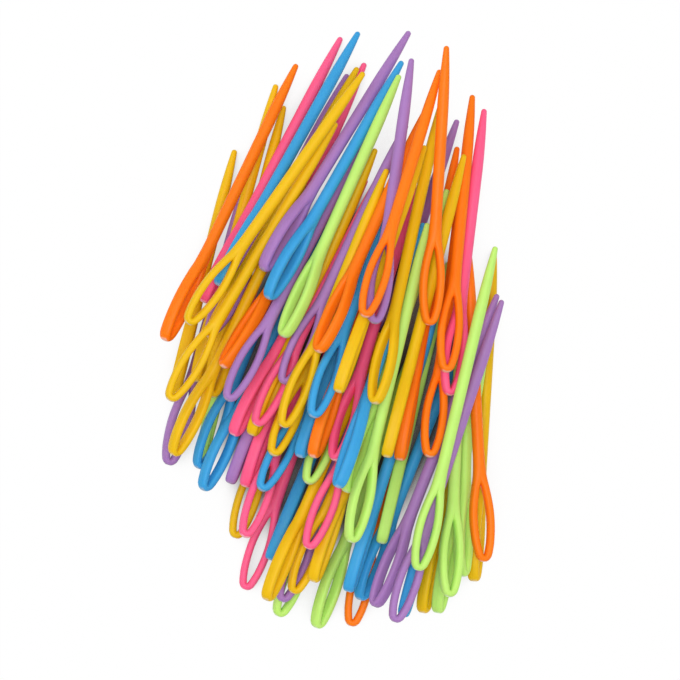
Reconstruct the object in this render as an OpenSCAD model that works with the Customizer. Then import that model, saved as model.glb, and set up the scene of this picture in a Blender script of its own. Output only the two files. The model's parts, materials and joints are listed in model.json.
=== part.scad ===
// A loose heap of plastic yarn needles. Each needle is one moulding: a round shaft that tapers
// to a blunt tip, and a long leaf-shaped eye made of two strands that part at a fork.
// The needles are listed from the bottom of the heap to the top, and each one is laid down on
// those below it, so the heap settles again when a size changes.

/* [Shaft] */
// Length of the standard needle, from the eye's end to the tip
needle_len = 90; // [80:1:110]
// Diameter of the shaft
shaft_d = 3.5; // [2.8:0.1:4.2]
// Diameter of the rounded tip
tip_d = 1.7; // [1:0.1:2.4]
// Length of the taper that leads to the tip
taper_len = 21; // [12:1:30]
// Diameter of the neck where the shaft meets the eye
neck_d = 4; // [3.4:0.1:4.8]
// Length over which the neck thins down to the shaft
neck_len = 10; // [5:1:15]

/* [Eye] */
// Length of the eye, from its end to the neck
eye_len = 25; // [22:0.5:30]
// Widest outside width of the eye
eye_w = 8; // [7.4:0.1:10]
// Distance of the widest place from the eye's end
eye_mid = 12.5; // [11.5:0.5:13.5]
// Outside width of the eye's rounded end
eye_end_w = 4.5; // [4:0.1:5]
// Width of the strand round the eye
strand_w = 2.3; // [1.8:0.1:2.4]
// Depth of the strand, across the flat of the eye
strand_depth = 3.7; // [3.2:0.1:3.9]
// Rounding of the strand's edges
edge_r = 0.8; // [0.4:0.1:0.8]

/* [Heap] */
// Clear gap left where one needle rests on another
seat_gap = 0.25; // [0.2:0.05:0.5]

/* [Hidden] */
yellow = "#F2BE22";
orange = "#FF7F20";
pink = "#FF5E8E";
purple = "#A878BE";
blue = "#3FA5DC";
lime = "#B5E86A";

// The needles from the bottom of the heap to the top. Each row holds the node, the colour, the
// eye's end across and up the table, the heading away from up, the length over the standard one,
// and the roll of the eye's flat.
HEAP = [
    ["purple_needle_1", purple, -49, -41, 15.5, 3, 15],
    ["orange_needle_1", orange, 6, -89.5, 13, -3, 5],
    ["lower_lime_needles", lime, -39.5, -40, 14, -3, 80],
    ["yellow_needle_1", yellow, 43, -76, 3.5, 10, 75],
    ["lower_purple_needles", purple, 9, -19, 19.5, -3, 0],
    ["lower_yellow_needles", yellow, 27.5, -85.5, 11.5, -3, 65],
    ["blue_needle_1", blue, 8.5, -81.5, 21.5, 1, 45],
    ["lower_yellow_needles", yellow, -40.5, -16, 15, 3, 70],
    ["lower_blue_needles", blue, 21.5, -86.5, 15.5, -5, 80],
    ["lower_lime_needles", lime, -16, -86.5, 22, -3, 20],
    ["lower_purple_needles", purple, -15, -82, 22, -3, 15],
    ["lower_lime_needles", lime, 32, -85.5, 10, -3, 70],
    ["blue_needle_2", blue, -40, -42, 22.5, -2, 25],
    ["lime_needle_1", lime, 15, -64.5, 13.5, -2, 90],
    ["blue_needle_3", blue, -38.5, -48.5, 24.5, 1, 38],
    ["pink_needle_1", pink, -26, -78.5, 19.5, -3, 0],
    ["lower_pink_needles", pink, -25, 1, 24, -3, 0],
    ["lime_needle_2", lime, -4.5, -90, 19, -3, 48],
    ["lower_lime_needles", lime, 39.5, -74.5, 1.5, -7, 60],
    ["lower_yellow_needles", yellow, -29, -63, 18, -3, 5],
    ["lower_purple_needles", purple, -30.5, -46.5, 21.5, -2, 85],
    ["lower_yellow_needles", yellow, -36, -20.5, 14, 1, 30],
    ["lime_needle_3", lime, 35.5, -80.5, 2.5, -2, 20],
    ["lower_pink_needles", pink, -26, -47.5, 19.5, -2, 75],
    ["blue_needle_4", blue, -18.5, -69.5, 22, -3, 85],
    ["pink_needle_2", pink, -26, -62.5, 20, -1, 5],
    ["yellow_needle_2", yellow, -11.5, -79.5, 22, -3, 15],
    ["orange_needle_2", orange, 46, -70, -3, 7, 15],
    ["lower_yellow_needles", yellow, -47.5, -20.5, 14, -13, 85],
    ["pink_needle_3", pink, -38.5, 8, 27.5, 1, 75],
    ["purple_needle_2", purple, 13, -83.5, 21.5, 11, -45],
    ["lower_blue_needles", blue, 5, -79, 17.5, 0, 80],
    ["lower_purple_needles", purple, -36.5, -1.5, 28, 0, 0],
    ["purple_needle_3", purple, 19, -88, 18.5, 12, 10],
    ["blue_needle_5", blue, -21, -48.5, 27, 0, 5],
    ["lower_yellow_needles", yellow, -37, -2.5, 29, 5, 80],
    ["pink_needle_4", pink, -29.5, -32, 27.5, -3, 62],
    ["lower_yellow_needles", yellow, -24, -32, 23.5, 4, 70],
    ["yellow_needle_3", yellow, -19.5, -81.5, 23, -2, 60],
    ["yellow_needle_4", yellow, -47.5, -38, 25.5, 6, 38],
    ["lime_needle_4", lime, -7, -46.5, 21, -1, 10],
    ["orange_needle_3", orange, 29.5, -38.5, 7, 0, 10],
    ["lower_yellow_needles", yellow, -5.5, -76, 19, -3, 70],
    ["lower_orange_needles", orange, 20.5, -39.5, 10.5, 7, 80],
    ["yellow_needle_5", yellow, -17.5, -38, 22.5, 0, 8],
    ["orange_needle_4", orange, -32.5, -11.5, 31.5, 2, -65],
    ["pink_needle_5", pink, 35.5, -20, 7, -2, 15],
    ["pink_needle_6", pink, -22.5, -29, 26.5, -2, 12],
    ["yellow_needle_6", yellow, -48.5, -21.5, 31, 8, 5],
    ["pink_needle_7", pink, -7, -66, 21.5, -3, 0],
    ["purple_needle_4", purple, -20.5, 17.5, 31.5, -3, 52],
    ["purple_needle_5", purple, -14.5, -16.5, 25.5, -3, 5],
    ["pink_needle_8", pink, 1, -39.5, 16.5, -1, -28],
    ["lower_lime_needles", lime, 4.5, -49, 18.5, 7, 50],
    ["purple_needle_6", purple, -31, -21.5, 27.5, 6, 5],
    ["blue_needle_6", blue, 2, -47.5, 18, -4, -68],
    ["lime_needle_5", lime, 6, -64, 13.5, 9, 28],
    ["lower_blue_needles", blue, -9.5, -38.5, 20, 0, 70],
    ["orange_needle_5", orange, -50, -3.5, 25.5, 4, 58],
    ["yellow_needle_7", yellow, -14.5, -29.5, 22, -6, 15],
    ["lower_orange_needles", orange, -5.5, -38.5, 18.5, 0, 65],
    ["orange_needle_6", orange, 34.5, -13, 5.5, -4, 8],
    ["yellow_needle_8", yellow, 13, -22.5, 12.5, 5, -33],
    ["blue_needle_7", blue, -19, 9, 29.5, -6, 50],
    ["lime_needle_6", lime, -14.5, -2.5, 24, -3, -50],
    ["yellow_needle_9", yellow, 16.5, -38.5, 14.5, 5, 88],
    ["blue_needle_8", blue, -5.5, -26.5, 20, -3, 12],
    ["blue_needle_9", blue, -34, 13, 29, 0, 75],
    ["yellow_needle_10", yellow, 2, -19, 19.5, -9, 80],
    ["yellow_needle_11", yellow, -43, 1.5, 35, 3, 10],
    ["orange_needle_7", orange, -4, -7, 24, -9, -48],
    ["purple_needle_7", purple, 13, 1.5, 8, -8, 5],
    ["orange_needle_8", orange, 10, 3.5, 17, -10, 0],
    ["lime_needle_7", lime, 26, -72.5, 13.5, 10, 12],
    ["orange_needle_9", orange, 29.5, 1, 3.5, -6, 12]
];

NODES = [for (k = [0:len(HEAP) - 1]) if (first_row(HEAP[k][0]) == k) HEAP[k][0]];

// Eye: each side is one arc, widest at the middle and as wide as the neck at the fork
strand_r = strand_w / 2;
half_depth = strand_depth / 2;
edge_shift = half_depth - edge_r;
disc_shift = half_depth - strand_r;
corner_r = edge_r + sqrt(2) * (strand_r - edge_r);
web_len = 4;
web_y = eye_len - web_len;
neck_r = neck_d / 2;
fork_overlap = 0.1;
fork_step = eye_w / 2 - neck_r + fork_overlap;
fork_rise = eye_len - eye_mid;
side_r = (fork_rise * fork_rise + fork_step * fork_step) / (2 * fork_step);
side_x = side_r - eye_w / 2;
end_fullness = 2 / 3;
end_r = eye_end_w * end_fullness;
reach = 2 * eye_len;

// Shaft: it starts inside the fork, where it is thinner than the eye is deep
throat_inset = 0.9;
throat_step = 0.25;
neck_lead = 1;
throat_y = eye_len - throat_inset;
throat_r = half_depth - throat_step;
neck_y = eye_len + neck_lead;
shaft_r = shaft_d / 2;
tip_r = tip_d / 2;
taper_rise = taper_len - tip_r;
taper_step = shaft_r - tip_r;
taper_arc_r = (taper_rise * taper_rise + taper_step * taper_step) / (2 * taper_step);

// A needle balances at this share of its length from the eye's end
balance_share = 0.42;

// A needle leans by a rise over its length, in steps up to the steepest
steepest_lean = 0.25;
lean_steps = 15;
end_share = 0.4;
LEANS = [for (k = [-lean_steps:lean_steps]) steepest_lean * k / lean_steps];

// Half section of a disc with a rounded rim
module disc_section(radius) {
    translate([0, -edge_shift]) square([radius, 2 * edge_shift]);
    translate([0, -half_depth]) square([radius - edge_r, strand_depth]);
    for (side = [-1, 1])
        translate([radius - edge_r, side * edge_shift]) circle(r = edge_r, $fn = 32);
}

// Half section of a round hole whose rims are rounded in the same way
module hole_section(radius) {
    difference() {
        translate([0, -strand_depth]) square([radius + edge_r, 2 * strand_depth]);
        translate([radius, -edge_shift]) square([2 * edge_r, 2 * edge_shift]);
        for (side = [-1, 1])
            translate([radius + edge_r, side * edge_shift]) circle(r = edge_r, $fn = 32);
    }
}

// Everything on the neck's side of y
module beyond(y) {
    translate([-eye_w, y, -strand_depth]) cube([2 * eye_w, reach, 2 * strand_depth]);
}

// Leaf where two large discs overlap, with its end rounded off by a small one
module leaf() {
    intersection() {
        translate([-side_x, eye_mid, 0]) rotate_extrude($fn = 360) disc_section(side_r);
        translate([side_x, eye_mid, 0]) rotate_extrude($fn = 360) disc_section(side_r);
        union() {
            translate([0, end_r, 0]) rotate_extrude($fn = 96) disc_section(end_r);
            beyond(end_r);
        }
    }
}

module leaf_hole() {
    intersection() {
        translate([-side_x, eye_mid, 0]) rotate_extrude($fn = 360) hole_section(side_r - strand_w);
        translate([side_x, eye_mid, 0]) rotate_extrude($fn = 360) hole_section(side_r - strand_w);
        beyond(strand_w);
    }
}

// Half section of the shaft, from the throat inside the fork to the rounded tip
module shaft_section(length) {
    taper_y = length - taper_len;
    polygon([[0, throat_y], [throat_r, throat_y], [neck_r, neck_y],
             [shaft_r, eye_len + neck_len], [shaft_r, taper_y], [0, taper_y]]);
    intersection() {
        translate([0, taper_y]) square([shaft_r, taper_rise]);
        translate([shaft_r - taper_arc_r, taper_y]) circle(r = taper_arc_r, $fn = 720);
    }
    intersection() {
        translate([0, length - 2 * tip_r]) square([tip_r, 2 * tip_r]);
        translate([0, length - tip_r]) circle(r = tip_r, $fn = 32);
    }
}

// One needle along Y, with the eye's end at the origin and the eye's flat facing up
module needle(length) {
    difference() {
        leaf();
        leaf_hole();
    }
    rotate([-90, 0, 0]) rotate_extrude($fn = 48) shaft_section(length);
}

// Distance of a strand's centre line from the needle's axis, y along the needle
function strand_shift(y) =
    let (side = sqrt(pow(side_r, 2) - pow(y - eye_mid, 2)) - side_x,
         end = y < end_r ? sqrt(pow(end_r, 2) - pow(y - end_r, 2)) : side)
    max(0, min(side, end) - strand_r);

// Radius of the shaft
function shaft_radius(y, length) =
    let (past_neck = (y - eye_len) / neck_len, in_taper = (y - length + taper_len) / taper_rise)
    past_neck < 1 ? neck_r + (shaft_r - neck_r) * past_neck
    : in_taper > 0 ? shaft_r - taper_step * min(1, in_taper * in_taper)
    : shaft_r;

// The needle's cross-section as discs that cover it, each with its place across, its height and
// its radius
function discs(y, length, roll) =
    y < eye_len
        ? [for (side = y < strand_w || y > web_y ? [-1:1] : [-1, 1], face = [-1, 1])
            let (x = side * strand_shift(y), z = face * disc_shift)
            [x * cos(roll) + z * sin(roll), z * cos(roll) - x * sin(roll), corner_r]]
        : [[0, 0, shaft_radius(y, length)]];

// Each needle on the table: its eye's end, its direction, the way to its right, length and roll
LINES = [for (row = HEAP)
    [[row[2], row[3]], [sin(row[4]), cos(row[4])], [cos(row[4]), -sin(row[4])],
     needle_len + row[5], row[6]]];

// A needle is held against the ones below it at these steps along it
first_step = 1.2;
eye_step = 2.4;
shaft_step = 3;
function steps(length) =
    concat([for (y = [first_step:eye_step:eye_len]) y],
           [for (y = [eye_len + tip_r:shaft_step:length - tip_d]) y],
           [length - tip_r]);

// Height at which a ball rests on a lower needle; the floor is all there is beyond its reach
function height_over(spot, ball_r, line, rest) =
    let (away = spot - line[0], y = away * line[1], x = away * line[2])
    abs(x) > eye_w || y < -ball_r - strand_w || y > line[3] + ball_r + strand_w ? 0
    : let (on = min(max(y, strand_r), line[3] - tip_r), past = y - on)
        max([for (disc = discs(on, line[3], line[4]))
            let (sum = ball_r + disc[2] + seat_gap, room = pow(sum, 2) - pow(x - disc[0], 2) - pow(past, 2))
            room > 0 ? rest[0] + y * rest[1] + disc[1] + sqrt(room) : 0]);

// Whether two needles come near each other, seen from above
function near(line, other) =
    let (a = (line[0] - other[0]) * other[2],
         b = (line[0] + line[3] * line[1] - other[0]) * other[2],
         c = (other[0] - line[0]) * line[2],
         d = (other[0] + other[3] * other[1] - line[0]) * line[2])
    !(min(a, b) > eye_w || max(a, b) < -eye_w || min(c, d) > eye_w || max(c, d) < -eye_w);

// Lowest height of the needle's axis at each step that clears the floor and the needles below
function needs(line, below, rests) =
    [for (y = steps(line[3]))
        let (spot = line[0] + y * line[1])
        [y, max([for (disc = discs(y, line[3], line[4]))
            let (place = spot + disc[0] * line[2])
            max(disc[2], max([0, for (k = below) height_over(place, disc[2], LINES[k], rests[k])]))
                - disc[1]])]];

// Height of the eye's end at which the needle clears every prop with this lean
function end_height(props, lean) = max([for (prop = props) prop[1] - lean * prop[0]]);

// The needle takes the lean that lies lowest, where its balance counts in full and its higher
// end in part. The result is the height of the eye's end and the lean.
function lie(props, length) =
    let (lies = [for (lean = LEANS)
            let (z = end_height(props, lean), rise = lean * length)
            [z + rise * balance_share + end_share * max(z, z + rise), z, lean]],
         best = min([for (one = lies) one[0]]))
    [for (one = lies) if (one[0] == best) [one[1], one[2]]][0];

function settle(rests = []) =
    len(rests) == len(HEAP) ? rests
    : let (k = len(rests), line = LINES[k],
           below = [for (j = 0; j < k; j = j + 1) if (near(line, LINES[j])) j])
        settle(concat(rests, [lie(needs(line, below, rests), line[3])]));

RESTS = settle();

function first_row(name) = [for (k = [0:len(HEAP) - 1]) if (HEAP[k][0] == name) k][0];

// All needles of one node
module needles(name) {
    for (k = [0:len(HEAP) - 1]) if (HEAP[k][0] == name)
        translate([HEAP[k][2], HEAP[k][3], RESTS[k][0]])
            rotate([0, 0, -HEAP[k][4]]) rotate([atan(RESTS[k][1]), 0, 0]) rotate([0, HEAP[k][6], 0])
                color(HEAP[k][1]) needle(needle_len + HEAP[k][5]);
}

for (name = NODES) needles(name);
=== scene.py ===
"""A heap of moulded plastic yarn needles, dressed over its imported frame."""

import json
import math

import bmesh
import bpy
import numpy as np
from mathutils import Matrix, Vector


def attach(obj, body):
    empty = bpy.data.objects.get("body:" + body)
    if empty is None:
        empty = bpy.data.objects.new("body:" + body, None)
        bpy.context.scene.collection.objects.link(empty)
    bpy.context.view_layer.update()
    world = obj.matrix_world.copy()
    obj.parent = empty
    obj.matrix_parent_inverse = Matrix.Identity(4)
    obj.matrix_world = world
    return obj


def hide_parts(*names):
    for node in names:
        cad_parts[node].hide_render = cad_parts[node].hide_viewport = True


bl_info = {
    "name": "Yarn Needle Heap",
    "version": (1, 0, 0),
    "blender": (4, 5, 0),
    "location": "View3D > Sidebar > Yarn Needles",
    "description": "Moulds smooth plastic yarn needles where the heap's solids lie",
    "category": "Object",
}

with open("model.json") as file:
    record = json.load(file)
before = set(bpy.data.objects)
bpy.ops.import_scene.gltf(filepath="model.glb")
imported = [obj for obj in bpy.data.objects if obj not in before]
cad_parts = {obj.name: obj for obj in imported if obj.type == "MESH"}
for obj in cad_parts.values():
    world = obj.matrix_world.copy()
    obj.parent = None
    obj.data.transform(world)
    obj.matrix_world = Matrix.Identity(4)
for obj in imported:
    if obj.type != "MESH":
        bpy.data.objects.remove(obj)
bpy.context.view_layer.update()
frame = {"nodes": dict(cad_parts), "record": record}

MM = 0.001
COLOURS = ("yellow", "orange", "pink", "purple", "blue", "lime")
BODY_OF = {
    node: body
    for body, nodes in (frame["record"].get("behaviour") or {}).get("bodies", {}).items()
    for node in nodes
}


# Sizes and colours that can be changed


def length_property(name, description, default, low, high):
    """A size in metres that is shown as a length; its numbers are given in millimetres."""
    return bpy.props.FloatProperty(
        name=name, description=description, default=default * MM, min=low * MM, max=high * MM,
        unit="LENGTH", precision=5,
    )


def share_property(name, description, default, low, high):
    """A plain number without a unit."""
    return bpy.props.FloatProperty(
        name=name, description=description, default=default, min=low, max=high
    )


def colour_property(name, description, default):
    """A colour in Blender's linear values."""
    return bpy.props.FloatVectorProperty(
        name=name, description=description, default=default, size=3, min=0, max=1,
        subtype="COLOR",
    )


class NeedleShape(bpy.types.PropertyGroup):
    """Sizes of the moulding, shared by every needle."""

    strand_width: length_property(
        "Strand width", "Width of the strand round the eye", 2.3, 1.6, 2.5
    )
    eye_depth: length_property(
        "Eye depth", "Depth of the strand across the eye's flat", 3.6, 3.0, 3.7
    )
    shaft_diameter: length_property(
        "Shaft diameter", "Diameter of the round shaft", 3.5, 3.0, 3.5
    )
    tip_diameter: length_property("Tip diameter", "Diameter of the rounded tip", 1.7, 1.2, 1.7)
    taper_length: length_property("Taper length", "Length of the taper to the tip", 21, 15, 25)
    points_round: bpy.props.IntProperty(
        name="Points round", description="Points round the section of each half",
        default=32, min=12, max=64,
    )


class NeedlePlastic(bpy.types.PropertyGroup):
    """Colours and finish of the plastic."""

    yellow: colour_property("Yellow", "Golden yellow plastic", (0.790, 0.490, 0.004))
    orange: colour_property("Orange", "Orange plastic", (0.930, 0.200, 0.004))
    pink: colour_property("Pink", "Bright pink plastic", (0.930, 0.118, 0.270))
    purple: colour_property("Purple", "Soft purple plastic", (0.380, 0.195, 0.480))
    blue: colour_property("Blue", "Sky blue plastic", (0.045, 0.350, 0.680))
    lime: colour_property("Lime", "Pale lime plastic", (0.510, 0.800, 0.175))
    roughness: share_property("Roughness", "Roughness of the satin surface", 0.46, 0.1, 0.8)
    sheen: share_property("Sheen", "Strength of the surface's reflection", 0.2, 0, 1)
    # Painted light: the plastic gives off light in its squared colour, a painted glow that lifts
    # its shade; it is no lamp.
    painted_glow: share_property("Vivid", "Light that the bright dye gives off again", 0.05, 0, 0.3)
    glow: share_property("Glow", "Share of light that scatters inside", 0.25, 0, 1)


class HeapStage(bpy.types.PropertyGroup):
    """Camera and floor."""

    pixel: length_property("Pixel", "Size of one picture element at the heap", 0.3, 0.1, 1)
    camera_height: bpy.props.FloatProperty(
        name="Camera height", description="Height of the camera",
        default=6.0, min=1, max=12, unit="LENGTH",
    )
    floor_colour: colour_property(
        "Floor colour", "Colour of the pale floor", (0.86, 0.86, 0.86)
    )


# Where each needle lies

SAME_PLACE = 1e-6  # metres, under which two corners of a solid's mesh are one point


def mesh_arrays(obj):
    """Points and triangles of a mesh, with points in the same place counted once."""
    mesh = obj.data
    mesh.calc_loop_triangles()
    points = np.empty(len(mesh.vertices) * 3)
    mesh.vertices.foreach_get("co", points)
    triangles = np.empty(len(mesh.loop_triangles) * 3, dtype=np.int32)
    mesh.loop_triangles.foreach_get("vertices", triangles)
    points = points.reshape(-1, 3)
    _, first, same = np.unique(
        np.round(points / SAME_PLACE).astype(np.int64), axis=0,
        return_index=True, return_inverse=True,
    )
    return points[first], same.reshape(-1)[triangles].reshape(-1, 3)


def separate_solids(triangles, count):
    """A label for each point: the smallest number among all the points it is joined to."""
    label = np.arange(count)
    while True:
        low = label[triangles].min(axis=1)
        new = label.copy()
        for corner in range(3):
            np.minimum.at(new, triangles[:, corner], low)
        new = np.minimum(new, new[new])
        if np.array_equal(new, label):
            return label
        label = new


def needle_pose(points, triangles):
    """Where a needle lies: the eye's end, its axes as rows (across, along, up) and its length.

    The shell's second moment, A/12 times the sum of the corners' own products and the product of
    their sum, is added up over the triangles. The needle's symmetry makes its main directions
    those of the shaft and of the eye's width.
    """
    a, b, c = (points[triangles[:, k]] for k in range(3))
    area = np.linalg.norm(np.cross(b - a, c - a), axis=1) / 2
    total = a + b + c
    middle = (area[:, None] * total / 3).sum(0) / area.sum()
    moment = sum(
        np.einsum("t,ti,tj->ij", area / 12, v, v) for v in (a, b, c, total)
    ) / area.sum() - np.outer(middle, middle)
    along, across = np.linalg.eigh(moment)[1].T[[2, 1]]
    used = points[np.unique(triangles)] - middle
    reach = used @ along
    if -reach.min() > reach.max():
        along, reach = -along, -reach
    up = np.cross(across, along)
    if up[2] < 0:
        across, up = -across, -up
    return middle + along * reach.min(), np.stack([across, along, up]), np.ptp(reach)


def needle_poses(node):
    """The pose of every needle in a node of the frame."""
    points, triangles = mesh_arrays(frame["nodes"][node])
    label = separate_solids(triangles, len(points))[triangles[:, 0]]
    return [needle_pose(points, triangles[label == one]) for one in np.unique(label)]


# The moulding. Every length in this section is in millimetres, and every place along a needle is
# a distance from the eye's end.

# Half the eye's outside width along the needle: the leaf swells from the round end, is widest at
# the middle and closes into the neck in an S.
LEAF_OUTLINE = (
    (0, 1.75), (2, 2.42), (4, 2.96), (6.5, 3.38), (9, 3.64), (11, 3.75), (13, 3.78), (15, 3.71),
    (17, 3.53), (19, 3.26), (21, 2.92), (23, 2.54), (24.5, 2.28), (26.5, 2.04), (29, 1.88),
    (32.5, 1.79), (38, 1.75),
)
LEAF_AT, LEAF_HALF = np.transpose(LEAF_OUTLINE)
LEAF_DONE = LEAF_AT[-1]

# The arc on which a strand's middle line turns round the eye's end, and how far it turns.
END_RADIUS = 1.12
END_TURN = math.radians(72)
ARC_CLEARANCE = 0.25  # the leaf's first section lies this far past the arc's last
BLEND = 3  # stations on each side of that join, over which the two are drawn together

# Where each change begins and where it is done.
BLUNT_END = (0.2, 3.2)  # the blunt end's rounder, thinner section becomes the strand's
SECTION_TURN = (21, 25)  # a section that faces along its strand turns to face along the needle
FORK = (22.5, 27.5)  # the two strands' middle lines run together on the axis
NECK = (24, 31)  # the strand's depth becomes the shaft's
EYE_DONE, NECK_DONE = 22, 36

# How many stations each stretch has.
END_STATIONS, EYE_STATIONS, FORK_STATIONS = 10, 26, 30
SHAFT_STATIONS, TAPER_STATIONS, TIP_STATIONS = 8, 16, 7
STATION_DECIMALS = 4

STRAND_SQUARENESS, ROUNDING = 2.7, 0.7  # a squareness of 2 is an ellipse
BLUNT_THINNING = 0.06  # share of the strand's depth that is missing at the blunt end
GATE_FACET = 0.12  # the cut of the gate takes this much off the eye's end
ON_AXIS = 1e-3  # points nearer the needle's middle plane than this are on it

# In metres: points nearer than the first are one, and edges shorter than the second are none.
WELD_DISTANCE, SHORTEST_EDGE = 2e-6, 1e-7


def smooth_curve(at, x, y):
    """A natural cubic spline through the points (x, y), worked out at each place in at."""
    step, rise = np.diff(x), np.diff(y) / np.diff(x)
    size = len(x)
    matrix = np.eye(size)
    right = np.zeros(size)
    inner = np.arange(1, size - 1)
    matrix[inner, inner - 1] = step[:-1]
    matrix[inner, inner] = 2 * (step[:-1] + step[1:])
    matrix[inner, inner + 1] = step[1:]
    right[inner] = 6 * np.diff(rise)
    bend = np.linalg.solve(matrix, right)
    k = np.clip(np.searchsorted(x, at) - 1, 0, size - 2)
    t, h = at - x[k], step[k]
    slope = rise[k] - h * (2 * bend[k] + bend[k + 1]) / 6
    return y[k] + t * (slope + t * (bend[k] / 2 + t * (bend[k + 1] - bend[k]) / (6 * h)))


def ease(value, low, high):
    """Zero below low, one above high and a smooth step between them."""
    t = np.clip((value - low) / (high - low), 0, 1)
    return t * t * (3 - 2 * t)


def stretch(start, end, count):
    """Evenly spaced stations after start, up to and with end."""
    return np.linspace(start, end, count)[1:]


def half_sections(length, shape):
    """Stations of the needle's right half.

    Each station has the middle of its section (x, y), the angle of the section's plane, its half
    width outwards and inwards, its half depth and how square it is. The first stations turn
    round the eye's end on a small arc, the next follow the leaf's side, and the strand's middle
    then runs to the axis as the two halves close into the neck, the shaft and the tip. The
    taper's half width falls with the square of the way along it, and the tip's is a quarter
    circle: the square root of 1 less the square of the way along it.
    """
    strand = shape.strand_width / MM / 2
    depth = shape.eye_depth / MM / 2
    shaft = shape.shaft_diameter / MM / 2
    tip = shape.tip_diameter / MM / 2
    taper = shape.taper_length / MM

    end_y = strand + END_RADIUS
    quarter = math.pi / 2
    angle = np.linspace(-quarter, END_TURN - quarter, END_STATIONS)
    arc_x, arc_y = END_RADIUS * np.cos(angle), end_y + END_RADIUS * np.sin(angle)

    y = np.concatenate([
        stretch(end_y, EYE_DONE, EYE_STATIONS),
        stretch(EYE_DONE, NECK_DONE, FORK_STATIONS),
        stretch(NECK_DONE, length - taper, SHAFT_STATIONS),
        length - taper * (1 - stretch(0, 1, TAPER_STATIONS)[:-1]),
        length - tip * (1 - np.sin(np.linspace(0, quarter, TIP_STATIONS))),
    ])
    y = np.unique(np.round(y, STATION_DECIMALS))
    y = y[y > arc_y[-1] + ARC_CLEARANCE]
    leaf = smooth_curve(np.clip(y, 0, LEAF_DONE), LEAF_AT, LEAF_HALF)
    outer = np.where(y < LEAF_DONE, leaf * shaft / LEAF_HALF[-1], shaft)
    into_taper = np.clip((y - length + taper) / (taper - tip), 0, 1)
    into_tip = np.clip((y - length + tip) / tip, 0, 1)
    round_tip = np.sqrt(np.clip(1 - into_tip**2, 0, 1))
    outer = (outer - (shaft - tip) * into_taper**2) * round_tip
    middle = np.clip(outer - strand, 0, None) * (1 - ease(y, *FORK))
    side_angle = np.arctan(np.gradient(middle, y)) * (1 - ease(y, *SECTION_TURN))

    x = np.concatenate([arc_x, middle])
    plane = np.concatenate([angle, -side_angle])
    y_all = np.concatenate([arc_y, y])
    arc = len(arc_x)
    first, last = arc - BLEND, arc + BLEND
    span = last - first
    for values in (x, plane):
        between = np.interp(np.arange(span + 1), [0, span], [values[first], values[last]])
        values[first:last + 1] = between * 0.5 + values[first:last + 1] * 0.5

    neck = ease(y_all, *NECK)
    blunt = 1 - ease(y_all, *BLUNT_END)
    outwards = np.concatenate([np.full(arc, strand), outer - middle])
    inwards = strand + (outwards - strand) * ease(y_all, *FORK)
    depths = depth * (1 - BLUNT_THINNING * blunt) + (outwards - depth) * neck
    square = STRAND_SQUARENESS - ROUNDING * np.maximum(neck, blunt)
    return x, y_all, plane, outwards, inwards, depths, square


def needle_surface(length, shape):
    """Points (across, along, up), quads and (u, v) of one needle's closed surface.

    A section is a rounded band: out = w * sgn(cos a) * |cos a| ** (2 / q) and
    up = d * sgn(sin a) * |sin a| ** (2 / q), with q its squareness. It is carried along the
    stations of the right half and cut at the middle plane, where the left half, its mirror
    image, is joined on. u is the way along the stations and v the share of the way round.
    """
    x, y, plane, outwards, inwards, depths, square = half_sections(length, shape)
    around = shape.points_round
    stations = len(x)
    a = (np.arange(around) + 0.5) * 2 * math.pi / around - math.pi
    cos, sin = np.cos(a)[None], np.sin(a)[None]
    power = (2 / square)[:, None]
    width = np.where(cos > 0, outwards[:, None], inwards[:, None])
    out = np.sign(cos) * np.abs(cos) ** power * width
    up = np.sign(sin) * np.abs(sin) ** power * depths[:, None]
    px = x[:, None] + out * np.cos(plane)[:, None]
    py = y[:, None] + out * np.sin(plane)[:, None]
    px[0] = 0
    px = np.where(px < ON_AXIS, 0, px)
    right = np.stack([px, np.clip(py, GATE_FACET, length), up], axis=-1).reshape(-1, 3)

    i, j = np.meshgrid(np.arange(stations - 1), np.arange(around), indexing="ij")
    here, following = i * around, (i + 1) * around
    k = (j + 1) % around
    quads = np.stack([here + j, following + j, following + k, here + k], -1).reshape(-1, 4)
    quads = quads[(right[quads][:, :, 0] > 0).any(axis=1)]
    way = np.concatenate([[0], np.cumsum(np.hypot(np.diff(x), np.diff(y)))])
    u = np.repeat(way, around)
    v = np.tile(np.arange(around) / around, stations)
    points = np.concatenate([right, right * (-1, 1, 1)])
    faces = np.concatenate([quads, quads[:, ::-1] + len(right)])
    uv = np.tile(np.stack([u, v], -1), (2, 1))
    return points, faces, uv


def weld_and_smooth(mesh):
    """Joins points in the same place, drops faces without area, turns every face outwards and
    shades the mesh smooth."""
    shell = bmesh.new()
    shell.from_mesh(mesh)
    bmesh.ops.remove_doubles(shell, verts=shell.verts, dist=WELD_DISTANCE)
    bmesh.ops.dissolve_degenerate(shell, edges=shell.edges, dist=SHORTEST_EDGE)
    bmesh.ops.recalc_face_normals(shell, faces=shell.faces)
    shell.to_mesh(mesh)
    shell.free()
    mesh.shade_smooth()


def needle_mesh(name, poses, shape):
    """One mesh with a needle at each pose: the eye's end, plus the points times the axes."""
    all_points, all_faces, all_uv, count = [], [], [], 0
    for origin, axes, length in poses:
        points, faces, uv = needle_surface(length / MM, shape)
        all_points.append(origin + points * MM @ axes)
        all_faces.append(faces + count)
        all_uv.append(uv)
        count += len(points)
    points, faces, uv = (np.concatenate(one) for one in (all_points, all_faces, all_uv))
    mesh = bpy.data.meshes.new(name)
    mesh.from_pydata(points.tolist(), [], faces.tolist())
    layer = mesh.uv_layers.new(name="UVMap")
    layer.data.foreach_set("uv", uv[faces.reshape(-1)].astype(np.float32).ravel())
    weld_and_smooth(mesh)
    return mesh


# Materials

# Texture scales, in features per metre, and how the flow lines stretch along the needle.
CLOUD_SCALE, SKIN_SCALE, PEEL_SCALE = 160.0, 1400.0, 420.0
FLOW_STRETCH = (0.06, 24.0, 1.0)

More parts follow.
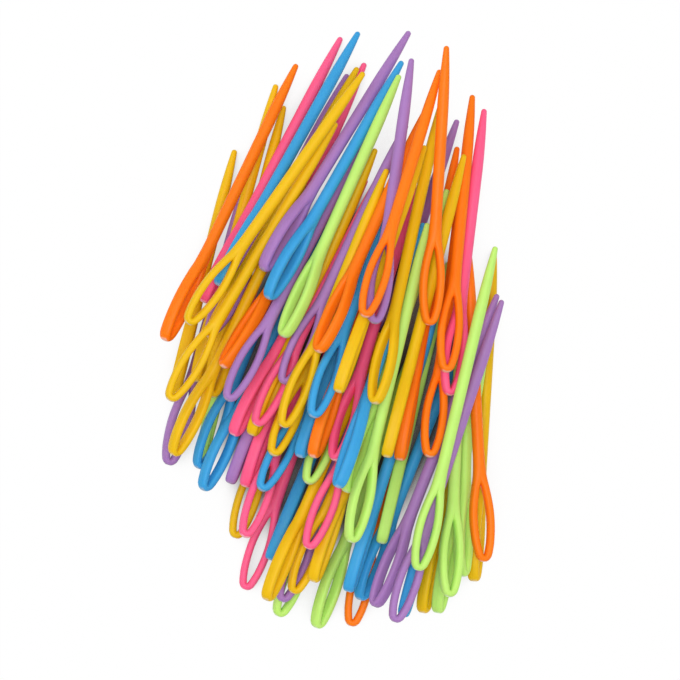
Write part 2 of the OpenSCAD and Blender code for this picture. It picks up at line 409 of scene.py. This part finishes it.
# How much each texture changes the plastic's brightness and its roughness.
CLOUD_TONE, FLOW_TONE = 0.12, 0.10
SKIN_ROUGHNESS, FLOW_ROUGHNESS, GATE_ROUGHNESS = 0.12, 0.10, 0.2
# A painted highlight: the eye's end is painted paler, standing in for the glint of the gate's cut
# facet, by this share of its saturation.
PAINTED_GLINT_PALENESS = 0.45

# The height of each mark, as shares of the bump's distance in metres.
SKIN_HEIGHT, GATE_HEIGHT, PEEL_HEIGHT, FLOW_HEIGHT, SEAM_HEIGHT = 0.15, 0.5, 0.5, 0.35, 0.9
BUMP_STRENGTH, BUMP_DISTANCE = 0.28, 0.00012

# The seam runs along the outside of the needle, at half of the way round its section. It and the
# gate's spot, with its painted highlight, fade out over these shares of the way round, and the
# spot over these millimetres along.
SEAM_V = 0.5
SEAM_FADE, GATE_AND_GLINT_SIDE_FADE, GATE_AND_GLINT_FADE = (0.004, 0.022), (0.05, 0.12), (0.35, 0.95)

PLASTIC_IOR = 1.49
SCATTER_SCALE = 0.0016  # metres that light of full colour travels inside
SCATTER_LEAST = 0.35  # share of that for a colour the dye takes away


class Socket:
    """A shader value that can be used in sums."""

    def __init__(self, tree, link):
        self.tree, self.link = tree, link

    def math(self, operation, other, swap=False):
        """A Math node on this value and another."""
        first, second = (other, self) if swap else (self, other)
        return self.tree.node("ShaderNodeMath", {"operation": operation}, {0: first, 1: second})

    def __add__(self, other):
        return self.math("ADD", other)

    def __mul__(self, other):
        return self.math("MULTIPLY", other)

    def __sub__(self, other):
        return self.math("SUBTRACT", other)

    def __rsub__(self, other):
        return self.math("SUBTRACT", other, swap=True)

    __radd__ = __add__
    __rmul__ = __mul__


class Shader:
    """A material's nodes."""

    def __init__(self, name):
        self.material = bpy.data.materials.new(name)
        self.material.use_nodes = True
        self.nodes = self.material.node_tree.nodes
        self.links = self.material.node_tree.links
        self.nodes.clear()

    def node(self, kind, settings=None, values=None, output=0):
        """A node of a kind, with its settings first and then its sockets' values or links."""
        made = self.nodes.new(kind)
        for key, value in (settings or {}).items():
            setattr(made, key, value)
        for key, value in (values or {}).items():
            if isinstance(value, Socket):
                self.links.new(value.link, made.inputs[key])
            else:
                made.inputs[key].default_value = value
        return Socket(self, made.outputs[output])

    def noise(self, place, scale, detail):
        """Soft noise at a place, about one half on average."""
        return self.node(
            "ShaderNodeTexNoise", None, {"Vector": place, "Scale": scale, "Detail": detail}
        )

    def fade(self, value, low, high):
        """A smooth step of a value, from zero at low to one at high."""
        return self.node(
            "ShaderNodeMapRange", {"interpolation_type": "SMOOTHSTEP"},
            {"Value": value, "From Min": low, "From Max": high, "To Min": 0.0, "To Max": 1.0},
        )

    def finish(self, surface):
        """Connects the surface to the output and returns the material."""
        end = self.nodes.new("ShaderNodeOutputMaterial")
        self.links.new(surface.link, end.inputs["Surface"])
        return self.material


def moulded_plastic(name, colour, plastic):
    """Satin moulded plastic: faint flow clouds in the colour, a fine uneven skin, drawn lines
    along the shaft, a hairline of flash where the mould's halves met, and the rough spot at the
    eye's end where the gate was cut, whose colour is painted paler as a painted highlight for the
    glint of its cut facet. A faint emission in the squared colour is a painted glow that lifts
    the shade."""
    shader = Shader(name)
    place = shader.node("ShaderNodeTexCoord", output="Object")
    uv = shader.node("ShaderNodeTexCoord", output="UV")
    clouds = shader.noise(place, CLOUD_SCALE, 3.0)
    skin = shader.noise(place, SKIN_SCALE, 4.0)
    orange_peel = shader.noise(place, PEEL_SCALE, 2.0)
    stretched = shader.node(
        "ShaderNodeVectorMath", {"operation": "MULTIPLY"}, {0: uv, 1: FLOW_STRETCH}
    )
    flow = shader.noise(stretched, 1.0, 3.0)

    around = shader.node("ShaderNodeSeparateXYZ", None, {0: uv}, output="Y")
    along = shader.node("ShaderNodeSeparateXYZ", None, {0: uv}, output="X")
    off_seam = shader.node("ShaderNodeMath", {"operation": "ABSOLUTE"}, {0: around - SEAM_V})
    seam = 1.0 - shader.fade(off_seam, *SEAM_FADE)
    # The gate's spot at the eye's end: its real roughness and bump, and a painted highlight in
    # its paler colour.
    gate_and_glint = (1.0 - shader.fade(along, *GATE_AND_GLINT_FADE)) * (1.0 - shader.fade(off_seam, *GATE_AND_GLINT_SIDE_FADE))

    plain_tone = 1 - (CLOUD_TONE + FLOW_TONE) / 2
    plain_roughness = plastic.roughness - (SKIN_ROUGHNESS + FLOW_ROUGHNESS) / 2
    # The colour's tone varies at random with the clouds and flow lines; at the eye's end it is
    # painted paler, a painted highlight.
    tint_with_painted_light = shader.node(
        "ShaderNodeHueSaturation", None,
        {
            "Color": (*colour, 1), "Fac": 1.0,
            "Value": clouds * CLOUD_TONE + flow * FLOW_TONE + plain_tone,
            "Saturation": 1.0 - gate_and_glint * PAINTED_GLINT_PALENESS,
        },
    )
    rough = (
        skin * SKIN_ROUGHNESS + flow * FLOW_ROUGHNESS + gate_and_glint * GATE_ROUGHNESS + plain_roughness
    )
    height = (
        skin * (SKIN_HEIGHT + gate_and_glint * GATE_HEIGHT) + orange_peel * PEEL_HEIGHT
        + flow * FLOW_HEIGHT + seam * SEAM_HEIGHT
    )
    bump = shader.node(
        "ShaderNodeBump", None,
        {"Strength": BUMP_STRENGTH, "Distance": BUMP_DISTANCE, "Height": height},
        output="Normal",
    )
    surface = shader.node(
        "ShaderNodeBsdfPrincipled", {"subsurface_method": "RANDOM_WALK"},
        {
            "Base Color": tint_with_painted_light, "Roughness": rough, "Normal": bump, "IOR": PLASTIC_IOR,
            "Specular IOR Level": plastic.sheen,
            "Subsurface Weight": plastic.glow, "Subsurface Scale": SCATTER_SCALE,
            "Subsurface Radius": [SCATTER_LEAST + (1 - SCATTER_LEAST) * c for c in colour],
            # Painted light: a painted glow in the squared colour, which lifts the plastic's shade
            # as no lamp does.
            "Emission Color": (*(c * c for c in colour), 1), "Emission Strength": plastic.painted_glow,
        },
        output="BSDF",
    )
    return shader.finish(surface)


# The needles' makers


def heap_settings():
    """The scene's settings: the needles' shape, their plastic and the stage."""
    scene = bpy.context.scene
    return scene.needle_shape, scene.needle_plastic, scene.heap_stage


class NeedleMaker:
    """Makes the needles of one colour, node by node."""

    bl_options = {"REGISTER", "UNDO"}
    colour = ""

    def execute(self, context):
        shape, plastic, _ = heap_settings()
        slot = self.colour + "_plastic"
        material = moulded_plastic(slot, getattr(plastic, self.colour), plastic)
        own = (self.colour + "_", "lower_" + self.colour + "_")
        for node in sorted(frame["nodes"]):
            if not node.startswith(own):
                continue
            poses = needle_poses(node)
            if not poses:
                raise RuntimeError(f"no needle found in {node}")
            mesh = needle_mesh(node + "_moulding", poses, shape)
            mesh.materials.append(material)
            piece = bpy.data.objects.new(node + "_moulding", mesh)
            context.scene.collection.objects.link(piece)
            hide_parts(node)
            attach(piece, BODY_OF.get(node, "root"))
        return {"FINISHED"}


class NEEDLES_OT_yellow(NeedleMaker, bpy.types.Operator):
    """Moulds the golden yellow needles"""

    bl_idname = "needles.yellow"
    bl_label = "Yellow Needles"
    colour = "yellow"


class NEEDLES_OT_orange(NeedleMaker, bpy.types.Operator):
    """Moulds the orange needles"""

    bl_idname = "needles.orange"
    bl_label = "Orange Needles"
    colour = "orange"


class NEEDLES_OT_pink(NeedleMaker, bpy.types.Operator):
    """Moulds the pink needles"""

    bl_idname = "needles.pink"
    bl_label = "Pink Needles"
    colour = "pink"


class NEEDLES_OT_purple(NeedleMaker, bpy.types.Operator):
    """Moulds the purple needles"""

    bl_idname = "needles.purple"
    bl_label = "Purple Needles"
    colour = "purple"


class NEEDLES_OT_blue(NeedleMaker, bpy.types.Operator):
    """Moulds the blue needles"""

    bl_idname = "needles.blue"
    bl_label = "Blue Needles"
    colour = "blue"


class NEEDLES_OT_lime(NeedleMaker, bpy.types.Operator):
    """Moulds the lime needles"""

    bl_idname = "needles.lime"
    bl_label = "Lime Needles"
    colour = "lime"


# The stage

# The heap is thick over this ellipse: its middle, its half lengths and its turn from up. Below it
# the floor lies in the dark, partly the lamps' real shade and partly painted shade in its colour,
# and round it the floor is as white as the table beside the heap, with a faint painted shadow.
THICK_MIDDLE = (0.004, -0.0125, 0.0)
THICK_HALF_LENGTH, THICK_HALF_WIDTH = 0.051, 0.0345
THICK_TURN = math.radians(12)
BESIDE_FADE = (0.8, 1.35)  # squares of the distance from the middle, where the ellipse is 1

FLOOR_HALF = 3.0
FLOOR_GRAIN_SCALE, FLOOR_GRAIN, FLOOR_ROUGHNESS = 900.0, 0.1, 0.75

# The needles close off the sky over the floor near them, and there the floor is painted darker,
# a painted shade: how far they count, in metres, the shares of open sky over which the matt floor
# and the white floor go from painted shade to light, and how light each is in the painted shade.
SKY_REACH, SKY_SAMPLES = 0.03, 12
MATT_FADE, MATT_PAINTED_SHADE = (0.1, 0.6), 0.08
WHITE_FADE, WHITE_PAINTED_SHADOW, WHITE_LIGHT = (0.15, 0.7), 0.68, 0.98

PICTURE_WIDTH = 680
PICTURE_SHIFT = (9, -11)  # picture elements right and up from the heap's middle to the picture's
SENSOR_WIDTH = 36  # millimetres
SCALE_HEIGHT = 0.02  # metres above the floor at which a picture element has the stage's size
CAMERA_REACH = (0.5, 60)

# Each lamp's name, place and width in metres, and power in watts. All look at the heap.
LAMPS = (
    ("overhead_lamp", (0, 0, 7.5), 2.4, 290),
    ("key_lamp", (-0.45, 0.35, 0.75), 0.5, 1.8),
    ("fill_lamp", (0.6, -0.3, 0.7), 0.6, 1.1),
)
LAMP_TARGET = (0, 0, 0)
SKY_STRENGTH = 0.42


def area_lamp(name, place, size, power):
    """A square soft lamp that looks at the heap."""
    light = bpy.data.lights.new(name, "AREA")
    light.size, light.energy = size, power
    lamp = bpy.data.objects.new(name, light)
    bpy.context.scene.collection.objects.link(lamp)
    lamp.location = place
    look = Vector(LAMP_TARGET) - Vector(place)
    lamp.rotation_euler = look.to_track_quat("-Z", "Y").to_euler()


def floor_material(colour):
    """White to the camera round the heap, with a faint painted shadow near the needles, and matt
    below its middle, with its colour darkened by painted shade where the needles close off the
    sky.

    A point's distance from the ellipse's middle is measured in its own half lengths, so that the
    sum of the two squares is 1 on its edge.
    """
    shader = Shader("pale_floor")
    place = shader.node("ShaderNodeTexCoord", output="Object")
    grain = shader.noise(place, FLOOR_GRAIN_SCALE, 2.0)
    open_sky = shader.node(
        "ShaderNodeAmbientOcclusion", {"samples": SKY_SAMPLES}, {"Distance": SKY_REACH},
        output="AO",
    )
    # Painted shade: the matt floor's colour is darkened where the needles close off the sky.
    painted_shade = shader.fade(open_sky, *MATT_FADE) * (1 - MATT_PAINTED_SHADE) + MATT_PAINTED_SHADE
    tint_with_painted_light = shader.node(
        "ShaderNodeHueSaturation", None, {"Color": (*colour, 1), "Value": painted_shade}
    )
    matt = shader.node(
        "ShaderNodeBsdfPrincipled", None,
        {"Base Color": tint_with_painted_light, "Roughness": grain * FLOOR_GRAIN + FLOOR_ROUGHNESS},
        output="BSDF",
    )
    white = shader.node("ShaderNodeEmission", None, {"Color": (1, 1, 1, 1), "Strength": 1.0})

    sin, cos = math.sin(THICK_TURN), math.cos(THICK_TURN)
    moved = shader.node(
        "ShaderNodeVectorMath", {"operation": "SUBTRACT"}, {0: place, 1: THICK_MIDDLE}
    )
    along, across = (
        shader.node(
            "ShaderNodeVectorMath", {"operation": "DOT_PRODUCT"},
            {0: moved, 1: (x / size, y / size, 0)}, output="Value",
        )
        for x, y, size in ((sin, cos, THICK_HALF_LENGTH), (cos, -sin, THICK_HALF_WIDTH))
    )
    beside = shader.fade(along * along + across * across, *BESIDE_FADE)
    # Painted shadow: the white floor is dimmed where the needles close off the sky.
    white_with_painted_shadow = shader.fade(open_sky, *WHITE_FADE) * (WHITE_LIGHT - WHITE_PAINTED_SHADOW) + WHITE_PAINTED_SHADOW

    seen, mirrored, through = (
        shader.node("ShaderNodeLightPath", output=ray)
        for ray in ("Is Camera Ray", "Is Glossy Ray", "Is Transmission Ray")
    )
    plain = shader.node(
        "ShaderNodeMath", {"operation": "MINIMUM"}, {0: seen + mirrored + through, 1: 1.0}
    )
    surface = shader.node(
        "ShaderNodeMixShader", None, {0: plain * (beside * white_with_painted_shadow), 1: matt, 2: white}
    )
    return shader.finish(surface)


def pale_floor(stage):
    """A plain square floor under the heap."""
    mesh = bpy.data.meshes.new("floor")
    half = FLOOR_HALF
    corners = [(-half, -half, 0), (half, -half, 0), (half, half, 0), (-half, half, 0)]
    mesh.from_pydata(corners, [], [(0, 1, 2, 3)])
    mesh.materials.append(floor_material(stage.floor_colour))
    floor = bpy.data.objects.new("floor", mesh)
    bpy.context.scene.collection.objects.link(floor)


def overhead_camera(stage):
    """A camera straight above, whose picture elements have the stage's size at the heap."""
    camera = bpy.data.objects.new("camera", bpy.data.cameras.new("camera"))
    bpy.context.scene.collection.objects.link(camera)
    right, up = PICTURE_SHIFT
    camera.location = (right * stage.pixel, up * stage.pixel, stage.camera_height)
    lens = camera.data
    lens.sensor_width = SENSOR_WIDTH
    distance = stage.camera_height - SCALE_HEIGHT
    lens.lens = SENSOR_WIDTH * distance / (PICTURE_WIDTH * stage.pixel)
    lens.clip_start, lens.clip_end = CAMERA_REACH
    bpy.context.scene.camera = camera


class NEEDLES_OT_stage(bpy.types.Operator):
    """Sets the camera straight above, the soft lamps and the pale floor"""

    bl_idname = "needles.stage"
    bl_label = "Stage"
    bl_options = {"REGISTER", "UNDO"}

    def execute(self, context):
        stage = heap_settings()[-1]
        pale_floor(stage)
        overhead_camera(stage)
        for lamp in LAMPS:
            area_lamp(*lamp)
        scene = context.scene
        world = scene.world or bpy.data.worlds.new("studio")
        scene.world = world
        world.use_nodes = True
        background = world.node_tree.nodes["Background"]
        background.inputs["Color"].default_value = (1, 1, 1, 1)
        background.inputs["Strength"].default_value = SKY_STRENGTH
        scene.view_settings.view_transform = "Standard"
        return {"FINISHED"}


# The panel and the run


class NEEDLES_PT_heap(bpy.types.Panel):
    """Lists the heap's settings and its makers"""

    bl_label = "Yarn Needles"
    bl_space_type = "VIEW_3D"
    bl_region_type = "UI"
    bl_category = "Yarn Needles"

    def draw(self, context):
        for group in heap_settings():
            box = self.layout.box()
            for name in group.bl_rna.properties.keys():
                if name not in ("rna_type", "name"):
                    box.prop(group, name)
        for maker in MAKERS:
            self.layout.operator(maker.bl_idname)


GROUPS = (NeedleShape, NeedlePlastic, HeapStage)
MAKERS = (
    NEEDLES_OT_stage, NEEDLES_OT_yellow, NEEDLES_OT_orange, NEEDLES_OT_pink, NEEDLES_OT_purple,
    NEEDLES_OT_blue, NEEDLES_OT_lime,
)


def register():
    """Adds the add-on's classes and the scene's settings."""
    for one in (*GROUPS, *MAKERS, NEEDLES_PT_heap):
        bpy.utils.register_class(one)
    bpy.types.Scene.needle_shape = bpy.props.PointerProperty(type=NeedleShape)
    bpy.types.Scene.needle_plastic = bpy.props.PointerProperty(type=NeedlePlastic)
    bpy.types.Scene.heap_stage = bpy.props.PointerProperty(type=HeapStage)


def unregister():
    """Takes the scene's settings and the add-on's classes away again."""
    del bpy.types.Scene.heap_stage, bpy.types.Scene.needle_plastic, bpy.types.Scene.needle_shape
    for one in reversed((*GROUPS, *MAKERS, NEEDLES_PT_heap)):
        bpy.utils.unregister_class(one)


def main():
    """Makes every piece and the stage."""
    register()
    for colour in COLOURS:
        getattr(bpy.ops.needles, colour)()
    bpy.ops.needles.stage()


if __name__ == "__main__":
    main()
